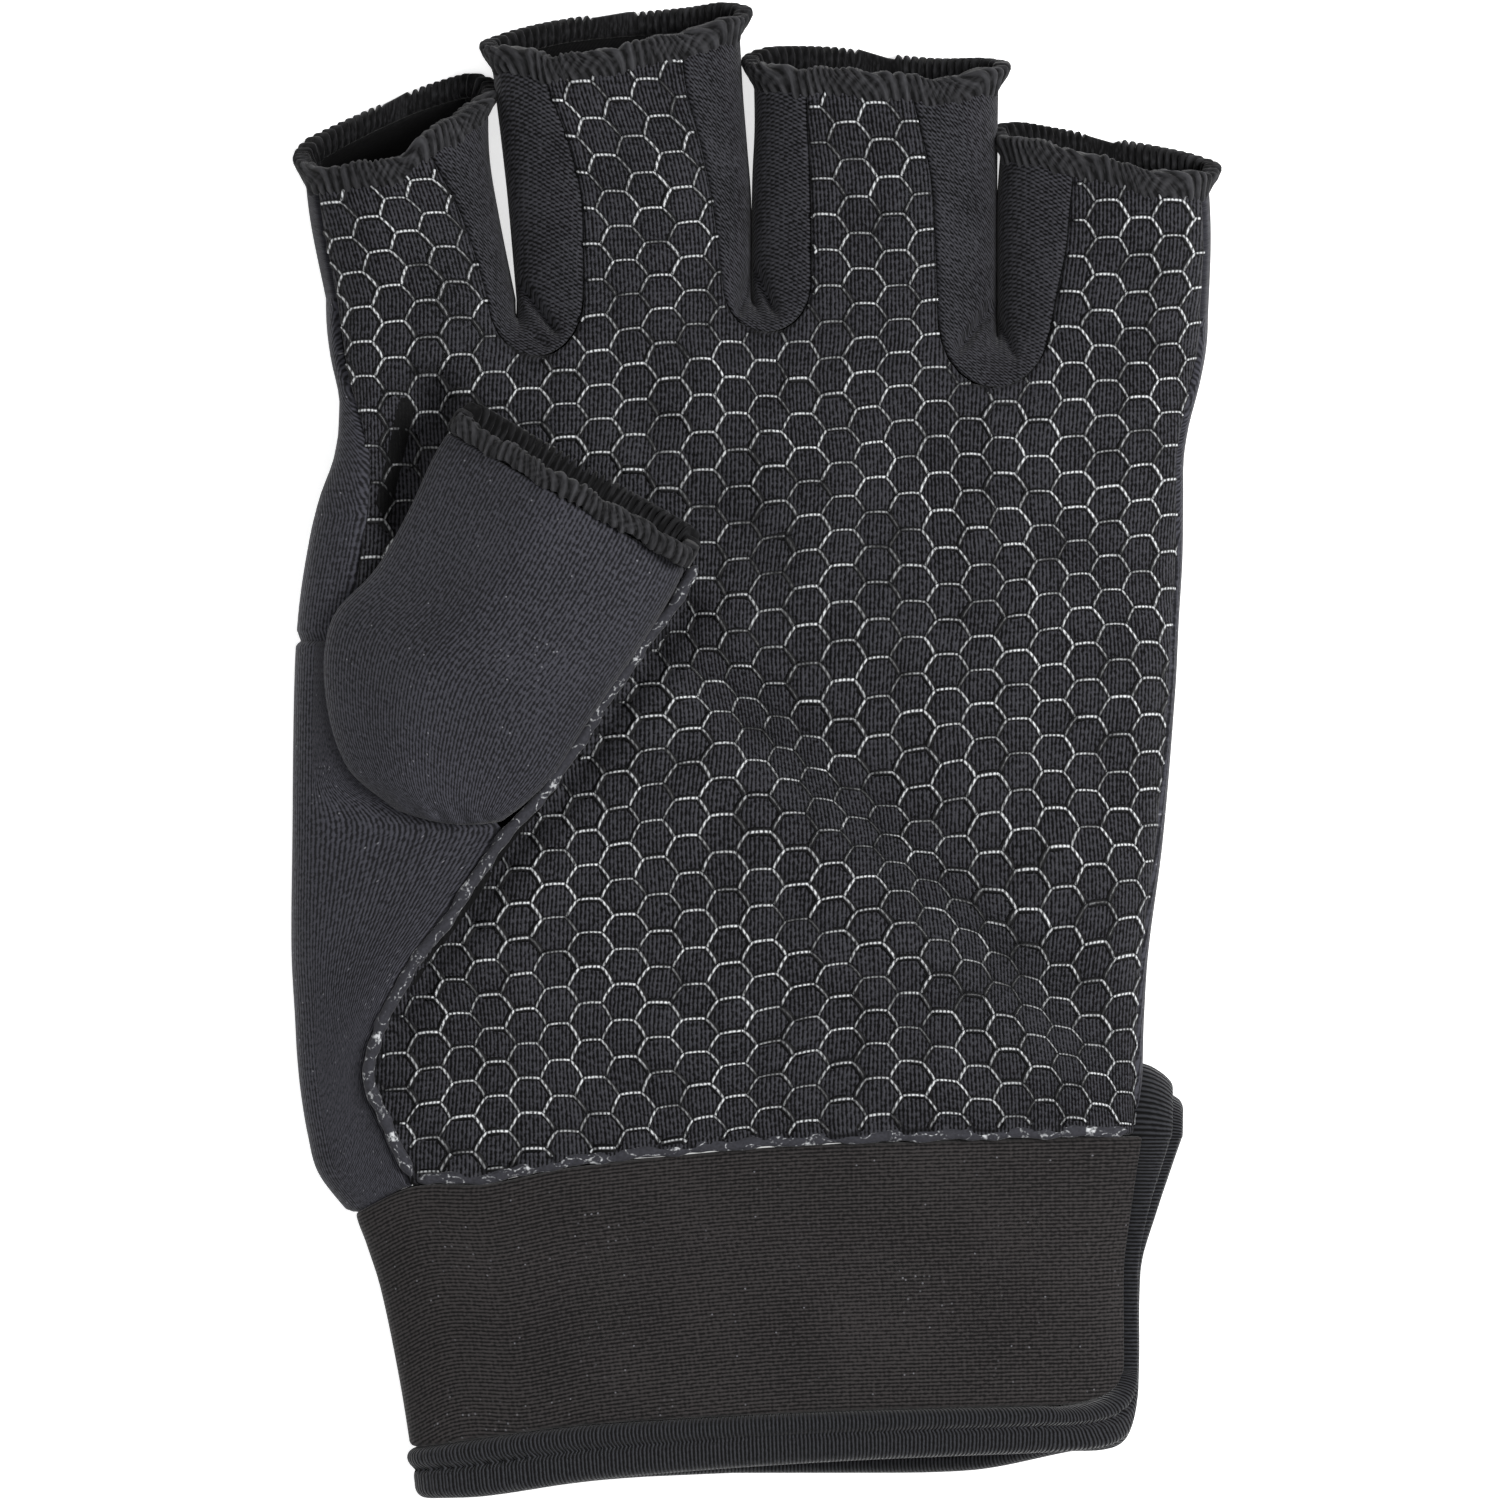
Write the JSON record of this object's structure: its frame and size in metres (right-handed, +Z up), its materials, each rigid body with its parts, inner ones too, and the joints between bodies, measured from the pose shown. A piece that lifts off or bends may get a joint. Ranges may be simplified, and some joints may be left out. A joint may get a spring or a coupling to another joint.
{
  "type": "field hockey glove",
  "caption": "Half-finger padded-grip sports glove for the left hand, lying palm up with its thumb folded over the palm and a bound, slit cuff.",
  "frame": {"origin": "on the flat back of the hand that the glove rests on, under the middle of the palm", "axes": "+Y to the fingertips, +X to the little finger, +Z up out of the palm"},
  "size_m": [0.103, 0.1665, 0.0261],
  "materials": {
    "grip_knit": "dark knit with printed silicone hexagons",
    "stretch_knit": "smooth matte stretch knit",
    "side_knit": "thin stretch knit with a slanted rib",
    "overlock_thread": "dense overlock stitching",
    "neoprene": "knit-faced neoprene with fine ribs",
    "binding_tape": "ribbed woven tape"
  },
  "bodies": {
    "root": {"palm_panel": "grip_knit", "back_panel": "stretch_knit", "thumb_gusset": "stretch_knit", "thumb_front": "stretch_knit", "thumb_underside": "stretch_knit", "fourchette_index_middle": "side_knit", "fourchette_middle_ring": "side_knit", "fourchette_ring_little": "side_knit", "hem_index": "overlock_thread", "hem_middle": "overlock_thread", "hem_ring": "overlock_thread", "hem_little": "overlock_thread", "hem_thumb": "overlock_thread", "cuff": "neoprene", "cuff_binding": "binding_tape", "closure_tab": "binding_tape"}
  },
  "joints": []
}
